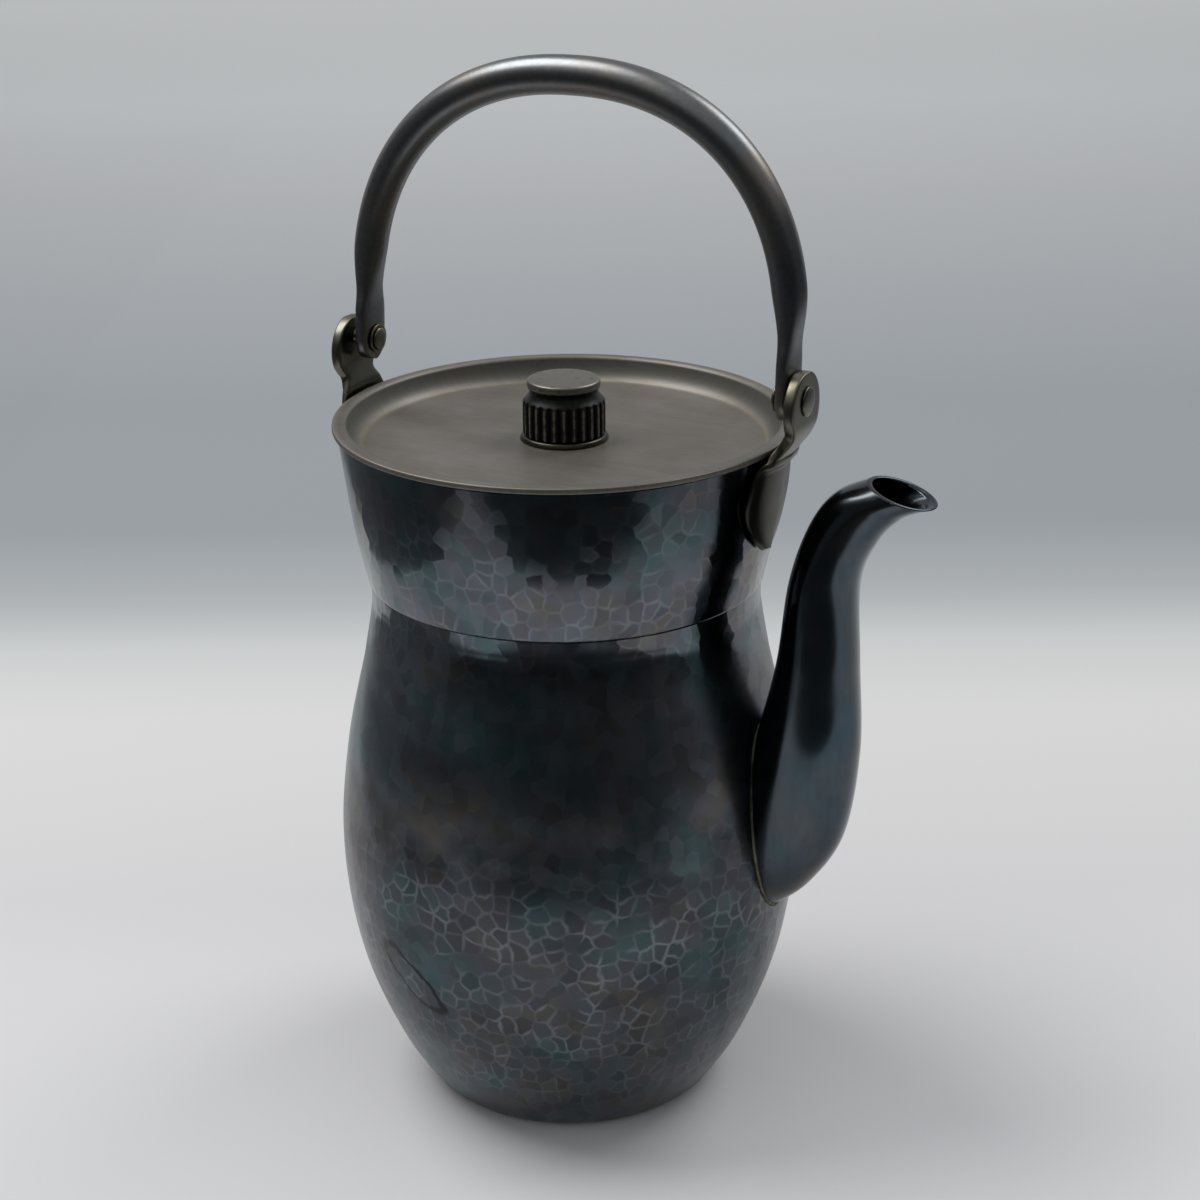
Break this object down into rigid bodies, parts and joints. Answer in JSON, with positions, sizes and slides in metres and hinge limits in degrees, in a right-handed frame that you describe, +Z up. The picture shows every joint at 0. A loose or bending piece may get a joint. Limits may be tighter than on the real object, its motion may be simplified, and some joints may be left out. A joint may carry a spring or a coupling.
{
  "type": "tin water ewer",
  "caption": "Tall waisted water ewer of beaten tin with an S-shaped spout, a swinging bail on riveted ears and a lift-off sunk lid with a fluted knob.",
  "frame": {"origin": "centre of the flat underside, on the axis of the belly", "axes": "+Z up along the axis of the belly, +X towards the spout, so the bail's pins lie along X"},
  "size_m": [0.1684, 0.125, 0.2815],
  "materials": {
    "dark_tin": "beaten tin with a blue-black patina, semi-gloss",
    "spout_tin": "smooth tin with a blue-black patina, glossy",
    "ear_tin": "smooth tin with an olive brown patina",
    "bail_tin": "smooth tin with a dark grey patina, semi-gloss",
    "lid_tin": "scraped tin with a warm grey patina, matt",
    "knob_tin": "turned and fluted tin with a warm grey patina"
  },
  "bodies": {
    "body": {"belly": "dark_tin", "neck_collar": "dark_tin", "spout": "spout_tin", "ear_front": "ear_tin", "ear_back": "ear_tin", "bail_pin_front": "ear_tin", "bail_pin_back": "ear_tin", "bail_washer_front": "ear_tin", "bail_washer_back": "ear_tin"},
    "bail": {"bail": "bail_tin"},
    "lid": {"lid": "lid_tin", "knob_ring": "knob_tin", "knob": "knob_tin", "knob_rivet": "lid_tin", "knob_washer": "lid_tin"}
  },
  "joints": [
    {"name": "bail_swing", "type": "hinge", "parent": "body", "child": "bail", "pos_m": [0, 0, 0.2033], "axis": [0.9999, 0, -0.0148], "range_deg": [-87, 93]},
    {"name": "lid_lift", "type": "slide", "parent": "body", "child": "lid", "axis": [0, 0, 1], "range_m": [0, 0.0072]}
  ]
}
